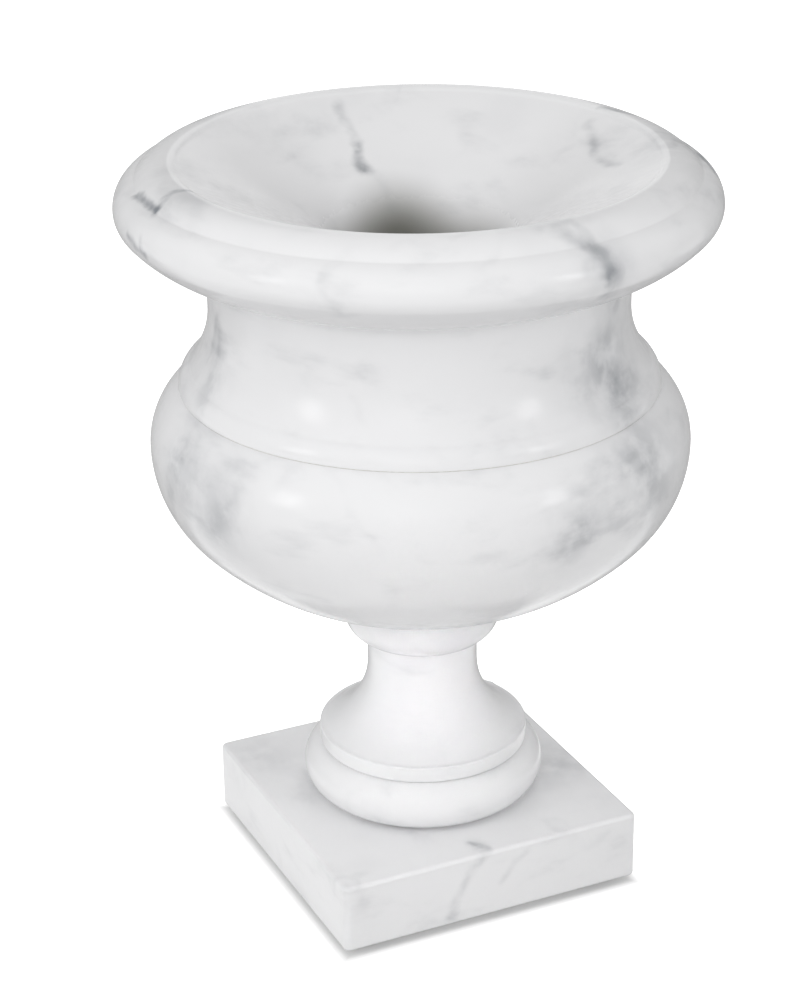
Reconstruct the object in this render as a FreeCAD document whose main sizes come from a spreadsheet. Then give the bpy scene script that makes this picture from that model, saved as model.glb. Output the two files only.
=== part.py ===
"""White marble urn on a square plinth, turned in sections round a steel tie rod.

The axis of the urn is Z and the rubber feet stand on Z = 0.  Lengths are in millimetres.
Every section is drawn in its own frame, from its underside up, and is then set on the
section below it with a thin bed of stone resin between the two.
"""
import FreeCAD, Part
import math
import os

import Sketcher

FULL_TURN = 360
HEX_SIDES = 6
HALF_SIDE_ANGLE = FULL_TURN / HEX_SIDES / 2

# Driving dimensions, grouped by the piece that they belong to.
SIZES = {
    # Rubber feet under the plinth
    "pad_radius": 8,
    "pad_thickness": 3,
    "pad_edge": 0.8,
    "pad_inset": 13,
    # Square plinth, sawn from 30 mm slab
    "plinth_side": 134,
    "plinth_thickness": 30,
    "plinth_corner": 3,
    "plinth_edge": 1.8,
    # Resin beds between the stones, wiped off just short of the visible edge
    "bed_thickness": 0.5,
    "bed_inset": 0.2,
    # Foot: torus, fillet ring, hollow cavetto and stem
    "torus_radius": 50.4,
    "torus_height": 22,
    "ring_radius": 43.6,
    "ring_height": 6.8,
    "ring_edge": 0.8,
    "cavetto_seat": 1.4,
    "cavetto_height": 29.6,
    "stem_radius": 22.9,
    "stem_height": 11.7,
    # Collar bead between the stem and the bowl
    "collar_radius": 32.2,
    "collar_height": 20,
    # Bowl: from the collar up to the shoulder joint
    "joint_radius": 96.4,
    "belly_swell": 12.5,
    "belly_rise": 24.3,
    "belly_turn_inset": 14.2,
    "belly_turn_drop": 34.7,
    "bowl_underside_drop": 34.2,
    "bowl_seat_margin": 1.2,
    "well_radius": 32.5,
    "well_floor": 31.5,
    "well_corner": 6,
    "spigot_inset": 36.4,
    "spigot_height": 4.5,
    "spigot_clearance": 0.3,
    # Neck and rim: shoulder band, neck hollow, ovolo, groove and crest bead
    "band_height": 8,
    "band_slope": 4.4,
    "band_relief": 0.3,
    "neck_flare": 8.5,
    "neck_rise": 24.6,
    "neck_return": 1.0,
    "neck_shoulder": 21,
    "undercut_width": 4.4,
    "rim_radius": 118.8,
    "underside_rise": 15,
    "nose_inset": 2.3,
    "nose_drop": 5.9,
    "ovolo_rise": 11.3,
    "groove_inset": 8.5,
    "bead_width": 12.8,
    "bead_rise": 6.4,
    "lip_width": 3.7,
    "lip_drop": 1.3,
    "dish_drop": 19.6,
    "mouth_flare": 16.4,
    "mouth_drop": 26.7,
    # Tie rod and its fixings
    "rod_radius": 4,
    "rod_clearance": 0.75,
    "rod_tip": 0.8,
    "rod_projection": 2,
    "thread_clearance": 0.05,
    "nut_flats": 13,
    "nut_height": 6.5,
    "washer_radius": 12,
    "washer_thickness": 2,
    "washer_clearance": 0.2,
    "cushion_thickness": 2,
    "recess_radius": 15,
    "recess_depth": 14,
}

doc = FreeCAD.newDocument("urn")
sheet = doc.addObject("Spreadsheet::Sheet", "Sizes")
for row, (alias, value) in enumerate(SIZES.items(), start=1):
    sheet.set(f"A{row}", alias)
    sheet.set(f"B{row}", str(value))
    sheet.setAlias(f"B{row}", alias)
doc.recompute()

pieces = []


def size(name):
    """Return the expression of one cell of the sheet."""
    return f"Sizes.{name}"


def total(*names):
    """Return the expression of a sum of cells; a name with a leading minus is taken off."""
    text = ""
    for name in names:
        sign = " - " if name.startswith("-") else " + "
        text += sign + size(name.lstrip("-"))
    return text.removeprefix(" + ").strip()


def number(expression):
    """Return the present value of an expression as a plain number."""
    value = sheet.evalExpression(expression)
    return float(getattr(value, "Value", value))


def plane(body, role):
    """Return the body's own origin plane or axis that has this role."""
    return next(item for item in body.Origin.OriginFeatures if item.Role == role)


def new_body(label):
    """Add an empty body to the document and list it as a piece of the urn."""
    body = doc.addObject("PartDesign::Body", label)
    body.Label = label
    pieces.append(body)
    return body


def new_sketch(body, name, role="XY_Plane"):
    """Add a sketch to a body, flat on one of its origin planes."""
    sketch = body.newObject("Sketcher::SketchObject", name)
    sketch.AttachmentSupport = [(plane(body, role), "")]
    sketch.MapMode = "FlatFace"
    return sketch


def bind(sketch, constraint, expression):
    """Add a constraint to a sketch and bind its value to an expression."""
    index = sketch.addConstraint(constraint)
    sketch.setExpression(f"Constraints[{index}]", expression)


def place(item, height, x="0", y="0"):
    """Bind a piece's place to expressions of the sheet."""
    item.setExpression(".Placement.Base.x", x)
    item.setExpression(".Placement.Base.y", y)
    item.setExpression(".Placement.Base.z", height)


def arc_centre(start, end, known, value):
    """Return the centre of an arc through two points whose "level" or "reach" is known."""
    (x1, y1), (x2, y2) = start, end
    half = ((x2 * x2 - x1 * x1) + (y2 * y2 - y1 * y1)) / 2
    if known == "level":
        return ((half - value * (y2 - y1)) / (x2 - x1), value)
    return (value, (half - value * (x2 - x1)) / (y2 - y1))


def smooth_centre(start, end, previous):
    """Return the centre of an arc that leaves another arc, centred at previous, smoothly."""
    ux, uy = start[0] - previous[0], start[1] - previous[1]
    dx, dy = end[0] - start[0], end[1] - start[1]
    reach = -(dx * dx + dy * dy) / (2 * (ux * dx + uy * dy))
    return (start[0] - reach * ux, start[1] - reach * uy)


def turned(label, outline):
    """Turn a stone: revolve a closed outline of lines and arcs round the Z axis.

    Each step of the outline is (radius, height, kind, detail): a corner, and how the edge
    that leaves it runs.  "line" is straight; "level" and "reach" are arcs whose centre
    has that height or that radius; "smooth" is an arc tangent to the arc before it.
    """
    body = new_body(label)
    sketch = new_sketch(body, label + "_outline", "XZ_Plane")
    corners = [(number(step[0]), number(step[1])) for step in outline]
    ends = []
    centre = None
    for index, (_, _, kind, detail) in enumerate(outline):
        start = corners[index]
        end = corners[(index + 1) % len(corners)]
        first = FreeCAD.Vector(start[0], start[1], 0)
        last = FreeCAD.Vector(end[0], end[1], 0)
        if kind == "line":
            sketch.addGeometry(Part.LineSegment(first, last))
            ends.append((1, 2))
            continue
        if kind == "smooth":
            centre = smooth_centre(start, end, centre)
        else:
            centre = arc_centre(start, end, kind, number(detail))
        angles = [math.atan2(y - centre[1], x - centre[0]) for x, y in (start, end)]
        circle = Part.Circle(FreeCAD.Vector(*centre, 0), FreeCAD.Vector(0, 0, 1), math.dist(centre, start))
        forward = math.sin(angles[1] - angles[0]) > 0
        if not forward:
            angles.reverse()
        sketch.addGeometry(Part.ArcOfCircle(circle, *angles))
        ends.append((1, 2) if forward else (2, 1))
    for index, (radius, height, kind, detail) in enumerate(outline):
        before = index - 1 if index else len(outline) - 1
        joint = (before, ends[before][1], index, ends[index][0])
        sketch.addConstraint(Sketcher.Constraint("Tangent" if kind == "smooth" else "Coincident", *joint))
        corner = corners[index]
        bind(sketch, Sketcher.Constraint("DistanceX", -1, 1, index, ends[index][0], corner[0]), radius)
        bind(sketch, Sketcher.Constraint("DistanceY", -1, 1, index, ends[index][0], corner[1]), height)
        if kind == "level":
            bind(sketch, Sketcher.Constraint("DistanceY", -1, 1, index, 3, number(detail)), detail)
        if kind == "reach":
            bind(sketch, Sketcher.Constraint("DistanceX", -1, 1, index, 3, number(detail)), detail)
    revolution = body.newObject("PartDesign::Revolution", label + "_turned")
    revolution.Profile = sketch
    revolution.ReferenceAxis = (sketch, ["V_Axis"])
    revolution.Angle = FULL_TURN
    sketch.Visibility = False
    doc.recompute()
    return body


def disc(label, radius, thickness, bore=None):
    """Make a flat round piece, with a hole through it where a bore radius is given."""
    body = new_body(label)
    sketch = new_sketch(body, label + "_outline")
    for expression in filter(None, (radius, bore)):
        circle = Part.Circle(FreeCAD.Vector(0, 0, 0), FreeCAD.Vector(0, 0, 1), number(expression))
        index = sketch.addGeometry(circle)
        sketch.addConstraint(Sketcher.Constraint("Coincident", index, 3, -1, 1))
        bind(sketch, Sketcher.Constraint("Radius", index, number(expression)), expression)
    pad = body.newObject("PartDesign::Pad", label + "_pad")
    pad.Profile = sketch
    pad.setExpression("Length", thickness)
    doc.recompute()
    return body


def edges_where(feature, test):
    """Return the names of a feature's edges whose middle or curve passes a test."""
    return [f"Edge{index}" for index, edge in enumerate(feature.Shape.Edges, start=1) if test(edge)]


def circles_at(radius, height):
    """Return a test for circular edges round Z of one radius at one height."""
    def test(edge):
        curve = edge.Curve
        if not isinstance(curve, Part.Circle):
            return False
        same_radius = math.isclose(curve.Radius, radius, rel_tol=1e-6)
        return same_radius and math.isclose(curve.Center.z, height, rel_tol=1e-6, abs_tol=1e-6)
    return test


def ease_edges(body, name, amount, test, kind="Fillet"):
    """Fillet or chamfer the edges of the body's last feature that pass a test."""
    base = body.Tip
    names = edges_where(base, test)
    if not names:
        raise RuntimeError(f"{name} finds no edge")
    feature = body.newObject("PartDesign::" + kind, name)
    feature.Base = (base, names)
    feature.setExpression("Radius" if kind == "Fillet" else "Size", amount)
    doc.recompute()


def cut_round(body, name, radius, depth):
    """Cut a round pocket of a given depth up into a body from its underside."""
    before = body.Shape.Volume
    sketch = new_sketch(body, name + "_outline")
    circle = Part.Circle(FreeCAD.Vector(0, 0, 0), FreeCAD.Vector(0, 0, 1), number(radius))
    index = sketch.addGeometry(circle)
    sketch.addConstraint(Sketcher.Constraint("Coincident", index, 3, -1, 1))
    bind(sketch, Sketcher.Constraint("Radius", index, number(radius)), radius)
    pocket = body.newObject("PartDesign::Pocket", name)
    pocket.Profile = sketch
    pocket.Reversed = True
    pocket.setExpression("Length", depth)
    doc.recompute()
    if not body.Shape.Volume < before:
        raise RuntimeError(f"{name} cuts nothing")


# Heights at which the pieces stand, each worked out from the stack below it.
plinth_level = size("pad_thickness")
foot_bed_level = total("pad_thickness", "plinth_thickness")
foot_level = f"{foot_bed_level} + {size('bed_thickness')}"
foot_height = total("torus_height", "ring_height", "cavetto_height", "stem_height")
collar_bed_level = f"{foot_level} + {foot_height}"
collar_level = f"{collar_bed_level} + {size('bed_thickness')}"
bowl_bed_level = f"{collar_level} + {size('collar_height')}"
bowl_level = f"{bowl_bed_level} + {size('bed_thickness')}"
bowl_height = total("bowl_underside_drop", "belly_turn_drop", "belly_rise")
neck_bed_level = f"{bowl_level} + {bowl_height}"
neck_level = f"{neck_bed_level} + {size('bed_thickness')}"
bore_radius = total("rod_radius", "rod_clearance")
spigot_radius = total("joint_radius", "-spigot_inset")
socket_radius = f"{spigot_radius} + {size('spigot_clearance')}"


def make_pads():
    """Make the four rubber feet, one near each corner of the plinth's underside."""
    reach = f"({size('plinth_side')} / 2 - {size('pad_inset')})"
    for depth, y in (("front", "-"), ("back", "")):
        for side, x in (("left", "-"), ("right", "")):
            pad = disc(f"pad_{depth}_{side}", size("pad_radius"), size("pad_thickness"))
            ease_edges(pad, pad.Label + "_edge", size("pad_edge"), circles_at(number(size("pad_radius")), 0))
            place(pad, "0", x + reach, y + reach)


def make_plinth():
    """Make the square plinth, with the rod's bore and the nut's recess in its underside."""
    body = new_body("plinth")
    sketch = new_sketch(body, "plinth_outline")
    half = number(size("plinth_side")) / 2
    corners = [(-half, -half), (half, -half), (half, half), (-half, half)]
    for start, end in zip(corners, corners[1:] + corners[:1]):
        sketch.addGeometry(Part.LineSegment(FreeCAD.Vector(*start, 0), FreeCAD.Vector(*end, 0)))
    for index in range(len(corners)):
        following = (index + 1) % len(corners)
        sketch.addConstraint(Sketcher.Constraint("Coincident", index, 2, following, 1))
        sketch.addConstraint(Sketcher.Constraint("Vertical" if index % 2 else "Horizontal", index))
    sketch.addConstraint(Sketcher.Constraint("Symmetric", 0, 1, 2, 1, -1, 1))
    bind(sketch, Sketcher.Constraint("DistanceX", 0, 1, 0, 2, 2 * half), size("plinth_side"))
    bind(sketch, Sketcher.Constraint("DistanceY", 1, 1, 1, 2, 2 * half), size("plinth_side"))
    slab = body.newObject("PartDesign::Pad", "plinth_slab")
    slab.Profile = sketch
    slab.setExpression("Length", size("plinth_thickness"))
    doc.recompute()
    top = number(size("plinth_thickness"))

    def upright(edge):
        return abs(edge.Vertexes[0].Z - edge.Vertexes[-1].Z) > top / 2

    def level(edge):
        return abs(edge.BoundBox.ZLength) < top / 2

    ease_edges(body, "plinth_corners", size("plinth_corner"), upright)
    ease_edges(body, "plinth_edges", size("plinth_edge"), level)
    cut_round(body, "nut_recess", size("recess_radius"), size("recess_depth"))
    cut_round(body, "plinth_bore", bore_radius, size("plinth_thickness"))
    place(body, plinth_level)


def make_foot():
    """Make the turned foot: torus, fillet ring, cavetto and stem."""
    half_torus = f"{size('torus_height')} / 2"
    torus_seat = f"{size('torus_radius')} - {half_torus}"
    ring_top = total("torus_height", "ring_height")
    stem_start = total("torus_height", "ring_height", "cavetto_height")
    cavetto_foot = total("ring_radius", "-cavetto_seat")
    body = turned("foot", [
        (bore_radius, foot_height, "line", None),
        (size("stem_radius"), foot_height, "line", None),
        (size("stem_radius"), stem_start, "level", stem_start),
        (cavetto_foot, ring_top, "line", None),
        (size("ring_radius"), ring_top, "line", None),
        (size("ring_radius"), size("torus_height"), "line", None),
        (torus_seat, size("torus_height"), "level", half_torus),
        (size("torus_radius"), half_torus, "level", half_torus),
        (torus_seat, "0", "line", None),
        (bore_radius, "0", "line", None),
    ])
    ring = number(size("ring_radius"))
    underside = circles_at(ring, number(size("torus_height")))
    upperside = circles_at(ring, number(ring_top))
    ease_edges(body, "ring_edges", size("ring_edge"), lambda edge: underside(edge) or upperside(edge))
    place(body, foot_level)


def make_collar():
    """Make the half-round collar bead that carries the bowl."""
    middle = f"{size('collar_height')} / 2"
    seat = f"{size('collar_radius')} - {middle}"
    body = turned("collar", [
        (bore_radius, size("collar_height"), "line", None),
        (seat, size("collar_height"), "level", middle),
        (size("collar_radius"), middle, "level", middle),
        (seat, "0", "line", None),
        (bore_radius, "0", "line", None),
    ])
    place(body, collar_level)


def make_bowl():
    """Make the bowl, with its bored well and the spigot that centres the neck on it."""
    belly_radius = total("joint_radius", "belly_swell")
    belly_level = total("bowl_underside_drop", "belly_turn_drop")
    seat = f"{size('collar_radius')} - {size('collar_height')} / 2 + {size('bowl_seat_margin')}"
    spigot_top = f"{bowl_height} + {size('spigot_height')}"
    floor_edge = total("well_radius", "-well_corner")
    corner_top = total("well_floor", "well_corner")
    body = turned("bowl", [
        (size("well_radius"), spigot_top, "line", None),
        (spigot_radius, spigot_top, "line", None),
        (spigot_radius, bowl_height, "line", None),
        (size("joint_radius"), bowl_height, "level", belly_level),
        (belly_radius, belly_level, "level", belly_level),
        (f"{belly_radius} - {size('belly_turn_inset')}", size("bowl_underside_drop"), "smooth", None),
        (seat, "0", "line", None),
        (bore_radius, "0", "line", None),
        (bore_radius, size("well_floor"), "line", None),
        (floor_edge, size("well_floor"), "reach", floor_edge),
        (size("well_radius"), corner_top, "line", None),
    ])
    place(body, bowl_level)


def make_neck_rim():
    """Make the top stone: shoulder band, neck, overhanging rim, dish and mouth of the well."""
    band_foot = total("joint_radius", "band_relief")
    band_top = f"{band_foot} - {size('band_slope')}"
    neck_radius = f"{band_top} - {size('neck_flare')}"
    neck_top = f"{neck_radius} + {size('neck_return')}"
    undercut = f"{neck_top} + {size('undercut_width')}"
    narrowest = total("band_height", "neck_rise")
    undercut_level = f"{narrowest} + {size('neck_shoulder')}"
    turn_level = f"{undercut_level} + {size('underside_rise')}"
    widest = f"{turn_level} + {size('nose_drop')}"
    groove_level = f"{widest} + {size('ovolo_rise')}"
    crest_level = f"{groove_level} + {size('bead_rise')}"
    groove = total("rim_radius", "-groove_inset")
    crest = f"{groove} - {size('bead_width')}"
    lip = f"{crest} - {size('lip_width')}"
    lip_level = f"{crest_level} - {size('lip_drop')}"
    flare_level = f"{lip_level} - {size('dish_drop')}"
    mouth_level = f"{flare_level} - {size('mouth_drop')}"
    socket_depth = size("spigot_height")
    body = turned("neck_rim", [
        (crest, crest_level, "reach", crest),
        (groove, groove_level, "level", widest),
        (size("rim_radius"), widest, "level", widest),
        (total("rim_radius", "-nose_inset"), turn_level, "smooth", None),
        (undercut, undercut_level, "line", None),
        (neck_top, undercut_level, "level", narrowest),
        (neck_radius, narrowest, "level", narrowest),
        (band_top, size("band_height"), "level", "0"),
        (band_foot, "0", "line", None),
        (socket_radius, "0", "line", None),
        (socket_radius, socket_depth, "line", None),
        (size("well_radius"), socket_depth, "line", None),
        (size("well_radius"), mouth_level, "level", mouth_level),
        (total("well_radius", "mouth_flare"), flare_level, "smooth", None),
        (lip, lip_level, "reach", crest),
    ])
    place(body, neck_level)


def make_beds():
    """Make the four resin beds, each wiped off just short of the stones' visible edge."""
    inset = size("bed_inset")
    torus_seat = f"{size('torus_radius')} - {size('torus_height')} / 2 - {inset}"
    collar_seat = f"{size('collar_radius')} - {size('collar_height')} / 2 - {inset}"
    joint_edge = f"{size('joint_radius')} - {inset}"
    beds = (
        ("foot_bed", torus_seat, bore_radius, foot_bed_level),
        ("collar_bed", collar_seat, bore_radius, collar_bed_level),
        ("bowl_bed", collar_seat, bore_radius, bowl_bed_level),
        ("neck_bed", joint_edge, socket_radius, neck_bed_level),
    )
    for label, radius, bore, level in beds:
        place(disc(label, radius, size("bed_thickness"), bore), level)


def make_nut(label, level):
    """Make a hexagon nut whose corners are turned off to a cone at both faces."""
    across_flats = f"{size('nut_flats')} / 2"
    across_corners = f"{across_flats} / cos({HALF_SIDE_ANGLE} deg)"
    hexagon = doc.addObject("Part::Prism", label + "_hexagon")
    hexagon.Polygon = HEX_SIDES
    hexagon.setExpression("Circumradius", across_corners)
    hexagon.setExpression("Height", size("nut_height"))
    barrel = doc.addObject("Part::Cylinder", label + "_barrel")
    barrel.setExpression("Radius", across_corners)
    barrel.setExpression("Height", size("nut_height"))
    doc.recompute()
    turned_off = doc.addObject("Part::Chamfer", label + "_corners")
    turned_off.Base = barrel
    chamfer = number(f"{across_corners} - {across_flats}")
    rims = [index for index, edge in enumerate(barrel.Shape.Edges, start=1) if isinstance(edge.Curve, Part.Circle)]
    turned_off.Edges = [(index, chamfer, chamfer) for index in rims]
    blank = doc.addObject("Part::Common", label + "_blank")
    blank.Base = hexagon
    blank.Tool = turned_off
    thread = doc.addObject("Part::Cylinder", label + "_thread")
    thread.setExpression("Radius", total("rod_radius", "thread_clearance"))
    thread.setExpression("Height", size("nut_height"))
    nut = doc.addObject("Part::Cut", label)
    nut.Label = label
    nut.Base = blank
    nut.Tool = thread
    place(nut, level)
    pieces.append(nut)


def make_fixings():
    """Make the tie rod with a cushion, washer and nut at each end."""
    washer_bore = total("rod_radius", "washer_clearance")
    recess_ceiling = total("pad_thickness", "recess_depth")
    lower_cushion = f"{recess_ceiling} - {size('cushion_thickness')}"
    lower_washer = f"{lower_cushion} - {size('washer_thickness')}"
    lower_nut = f"{lower_washer} - {size('nut_height')}"
    rod_foot = f"{lower_nut} - {size('rod_projection')}"
    upper_cushion = f"{bowl_level} + {size('well_floor')}"
    upper_washer = f"{upper_cushion} + {size('cushion_thickness')}"
    upper_nut = f"{upper_washer} + {size('washer_thickness')}"
    rod_head = f"{upper_nut} + {total('nut_height', 'rod_projection')}"
    for end, cushion, washer, nut in (
        ("lower", lower_cushion, lower_washer, lower_nut),
        ("upper", upper_cushion, upper_washer, upper_nut),
    ):
        place(disc(f"{end}_cushion", size("washer_radius"), size("cushion_thickness"), washer_bore), cushion)
        place(disc(f"{end}_washer", size("washer_radius"), size("washer_thickness"), washer_bore), washer)
        make_nut(f"{end}_nut", nut)
    rod = disc("tie_rod", size("rod_radius"), f"{rod_head} - ({rod_foot})")
    foot = circles_at(number(size("rod_radius")), 0)
    head = circles_at(number(size("rod_radius")), number(f"{rod_head} - ({rod_foot})"))
    ease_edges(rod, "rod_tips", size("rod_tip"), lambda edge: foot(edge) or head(edge), "Chamfer")
    place(rod, rod_foot)


def check_and_write():
    """Stop if anything in the document failed, then write each piece to its own file."""
    doc.recompute()
    for item in doc.Objects:
        if "Invalid" in item.State or "Error" in item.State:
            raise RuntimeError(f"{item.Label} failed: {item.State}")
    for piece in pieces:
        if piece.Shape.isNull() or not piece.Shape.isValid():
            raise RuntimeError(f"{piece.Label} has no valid shape")
        if len(piece.Shape.Solids) != 1:
            raise RuntimeError(f"{piece.Label} has {len(piece.Shape.Solids)} solids")
    os.makedirs("parts", exist_ok=True)
    for piece in pieces:
        piece.Shape.exportStep(f"parts/{piece.Label}.step")
        box = piece.Shape.optimalBoundingBox(False)
        print(f"{piece.Label}: {piece.Shape.Volume:.1f} mm3, Z {box.ZMin:.2f} to {box.ZMax:.2f}")


make_pads()
make_plinth()
make_foot()
make_collar()
make_bowl()
make_neck_rim()
make_beds()
make_fixings()
check_and_write()
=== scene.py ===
"""Looks of a white marble urn on a square plinth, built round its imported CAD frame.

Every stone is turned or sawn here as one closed mesh with eased arrises, in place of its
CAD node. Lengths in the classes are in millimetres, and meshes are written in metres.
"""

import logging
import math
from collections.abc import Sequence
from dataclasses import dataclass, field
from enum import Enum
from typing import Any, ClassVar

import bmesh
import bpy
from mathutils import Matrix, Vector


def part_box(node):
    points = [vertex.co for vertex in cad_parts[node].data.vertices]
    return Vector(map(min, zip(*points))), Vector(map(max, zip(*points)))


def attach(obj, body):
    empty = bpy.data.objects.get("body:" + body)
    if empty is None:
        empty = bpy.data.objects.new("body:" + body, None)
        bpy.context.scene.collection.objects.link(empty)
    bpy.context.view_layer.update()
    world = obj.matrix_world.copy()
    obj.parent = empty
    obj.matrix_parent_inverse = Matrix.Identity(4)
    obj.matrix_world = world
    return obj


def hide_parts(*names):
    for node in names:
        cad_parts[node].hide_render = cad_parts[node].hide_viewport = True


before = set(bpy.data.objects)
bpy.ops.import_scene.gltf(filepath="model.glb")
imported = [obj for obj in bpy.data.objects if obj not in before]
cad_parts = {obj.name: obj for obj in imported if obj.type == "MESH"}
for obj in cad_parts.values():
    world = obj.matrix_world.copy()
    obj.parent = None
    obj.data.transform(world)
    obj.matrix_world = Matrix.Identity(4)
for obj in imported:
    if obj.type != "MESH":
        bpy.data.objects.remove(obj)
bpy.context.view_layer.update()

log = logging.getLogger("urn")

MM = 0.001
BODY = "root"
# Points round every ring, and the most that one chord of a moulding turns and runs
RING_POINTS = 384
ARC_STEP_DEG = 2.5
ARC_STEP_MM = 1.6
# Chords over one eased arris, and how near its ends a flat gets its two extra rings
EASE_STEPS = 4
SUPPORT_MM = 0.35
# Sockets of a Mix node by number, because their names repeat: for numbers, then for colours
FACTOR, NUMBER_A, NUMBER_B = 0, 2, 3
COLOUR_A, COLOUR_B, MIXED = 6, 7, 2
# Setting of a Map Range node that changes smoothly and is held at both ends
SMOOTH = {"interpolation_type": "SMOOTHSTEP"}

Point = tuple[float, float]
Triple = tuple[float, float, float]
Change = tuple[Point, Point]
Tree = bpy.types.NodeTree
Socket = bpy.types.NodeSocket
Material = bpy.types.Material


class Bend(Enum):
    """How the run of an outline that leaves a corner goes to the next corner."""

    STRAIGHT = "straight"
    LEVEL = "arc whose centre has a given height"
    REACH = "arc whose centre has a given radius"
    SMOOTH = "arc tangent to the arc before it"


class Slot(Enum):
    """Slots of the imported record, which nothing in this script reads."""

    MARBLE = "marble"
    ZINC = "zinc_steel"


# ---- Shapes of stones


@dataclass(frozen=True)
class Corner:
    """One corner of an outline, and the run that leaves it."""

    radius: float
    level: float
    bend: Bend = Bend.STRAIGHT
    centre: float = 0.0
    ease: float = 0.0


def arc_centre(start: Point, end: Point, bend: Bend, value: float) -> Point:
    """Find the centre of an arc through two points.

    Args:
        start: first point, as radius and height.
        end: last point.
        bend: Bend.LEVEL if the centre's height is known, Bend.REACH if its radius is.
        value: the known height or radius.

    Returns:
        The centre, as radius and height.
    """
    half = (end[0] ** 2 - start[0] ** 2 + end[1] ** 2 - start[1] ** 2) / 2
    if bend is Bend.LEVEL:
        return (half - value * (end[1] - start[1])) / (end[0] - start[0]), value
    return value, (half - value * (end[0] - start[0])) / (end[1] - start[1])


def smooth_centre(start: Point, end: Point, before: Point) -> Point:
    """Find the centre of an arc that leaves another arc smoothly.

    Args:
        start: point where the two arcs meet.
        end: last point of the new arc.
        before: centre of the arc before.

    Returns:
        The new arc's centre, as radius and height.
    """
    ux, uy = start[0] - before[0], start[1] - before[1]
    dx, dy = end[0] - start[0], end[1] - start[1]
    reach = -(dx * dx + dy * dy) / (2 * (ux * dx + uy * dy))
    return start[0] - reach * ux, start[1] - reach * uy


def arc_run(start: Point, end: Point, centre: Point) -> list[Point]:
    """Divide the shorter arc between two points into short chords.

    Args:
        start: first point.
        end: last point.
        centre: the arc's centre.

    Returns:
        The points along the arc, both ends included.
    """
    radius = math.dist(centre, start)
    first = math.atan2(start[1] - centre[1], start[0] - centre[0])
    turn = math.atan2(end[1] - centre[1], end[0] - centre[0]) - first
    turn = (turn + math.pi) % math.tau - math.pi
    turn_parts = math.ceil(abs(math.degrees(turn)) / ARC_STEP_DEG)
    parts = max(turn_parts, math.ceil(abs(turn) * radius / ARC_STEP_MM))
    angles = [first + turn * step / parts for step in range(parts + 1)]
    return [(centre[0] + radius * math.cos(a), centre[1] + radius * math.sin(a)) for a in angles]


def shortened(run: list[Point], length: float) -> list[Point]:
    """Cut a length off the start of a run of points.

    Args:
        run: the points.
        length: how much to cut off along the run.

    Returns:
        What is left of the run.
    """
    left = length
    for index in range(len(run) - 1):
        step = math.dist(run[index], run[index + 1])
        if step > left:
            share = left / step
            (x1, y1), (x2, y2) = run[index], run[index + 1]
            return [(x1 + share * (x2 - x1), y1 + share * (y2 - y1))] + run[index + 1:]
        left -= step
    return run[-2:]


def supported(run: list[Point]) -> list[Point]:
    """Add points close to both ends of a straight run, so that it shades flat between them.

    Args:
        run: the run's two ends.

    Returns:
        The run with its extra points, or as it was if it is short.
    """
    (x1, y1), (x2, y2) = run[0], run[-1]
    length = math.dist(run[0], run[-1])
    if length < 4 * SUPPORT_MM:
        return run
    dx, dy = (x2 - x1) * SUPPORT_MM / length, (y2 - y1) * SUPPORT_MM / length
    return [run[0], (x1 + dx, y1 + dy), (x2 - dx, y2 - dy), run[-1]]


def outline_points(corners: list[Corner]) -> list[Point]:
    """Trace a closed outline of lines and arcs, with its arrises eased.

    Args:
        corners: the outline's corners in order.

    Returns:
        Points round the outline, as radius and height, without a repeated end.
    """
    runs: list[list[Point]] = []
    centre: Point = (0.0, 0.0)
    for index, corner in enumerate(corners):
        following = corners[(index + 1) % len(corners)]
        start, end = (corner.radius, corner.level), (following.radius, following.level)
        if corner.bend is Bend.STRAIGHT:
            run = [start, end]
        else:
            if corner.bend is Bend.SMOOTH:
                centre = smooth_centre(start, end, centre)
            else:
                centre = arc_centre(start, end, corner.bend, corner.centre)
            run = arc_run(start, end, centre)
        if corner.ease:
            run = shortened(run, corner.ease)
        if following.ease:
            run = shortened(run[::-1], following.ease)[::-1]
        runs.append(supported(run) if corner.bend is Bend.STRAIGHT else run)
    points: list[Point] = []
    for index, corner in enumerate(corners):
        if corner.ease:
            first, last = runs[index - 1][-1], runs[index][0]
            sharp = (corner.radius, corner.level)
            for step in range(1, EASE_STEPS):
                t = step / EASE_STEPS
                eased = [
                    (1 - t) ** 2 * first[axis] + 2 * t * (1 - t) * sharp[axis] + t * t * last[axis]
                    for axis in (0, 1)
                ]
                points.append((eased[0], eased[1]))
        points += runs[index] if corner.ease else runs[index][1:]
    return points


def ring(half: float, corner: float, level: float) -> list[Triple]:
    """Place the points of one ring of a stone's skin, which is a square with round corners.

    Args:
        half: half the square's side.
        corner: its corners' radius; where it is as large as half, the ring is a circle.
        level: the ring's height.

    Returns:
        RING_POINTS places round the Z axis, in metres.
    """
    quarter = RING_POINTS // 4
    is_round = math.isclose(half, corner)
    inset = half - corner
    places: list[Triple] = []
    for index in range(RING_POINTS):
        side, step = divmod(index, quarter)
        share = (step + 0.5) / quarter if is_round else step / (quarter - 1)
        angle = (side + share) * math.pi / 2
        middle = (side + 0.5) * math.pi / 2
        x = math.copysign(inset, math.cos(middle)) + corner * math.cos(angle)
        y = math.copysign(inset, math.sin(middle)) + corner * math.sin(angle)
        places.append((x * MM, y * MM, level * MM))
    return places


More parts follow.
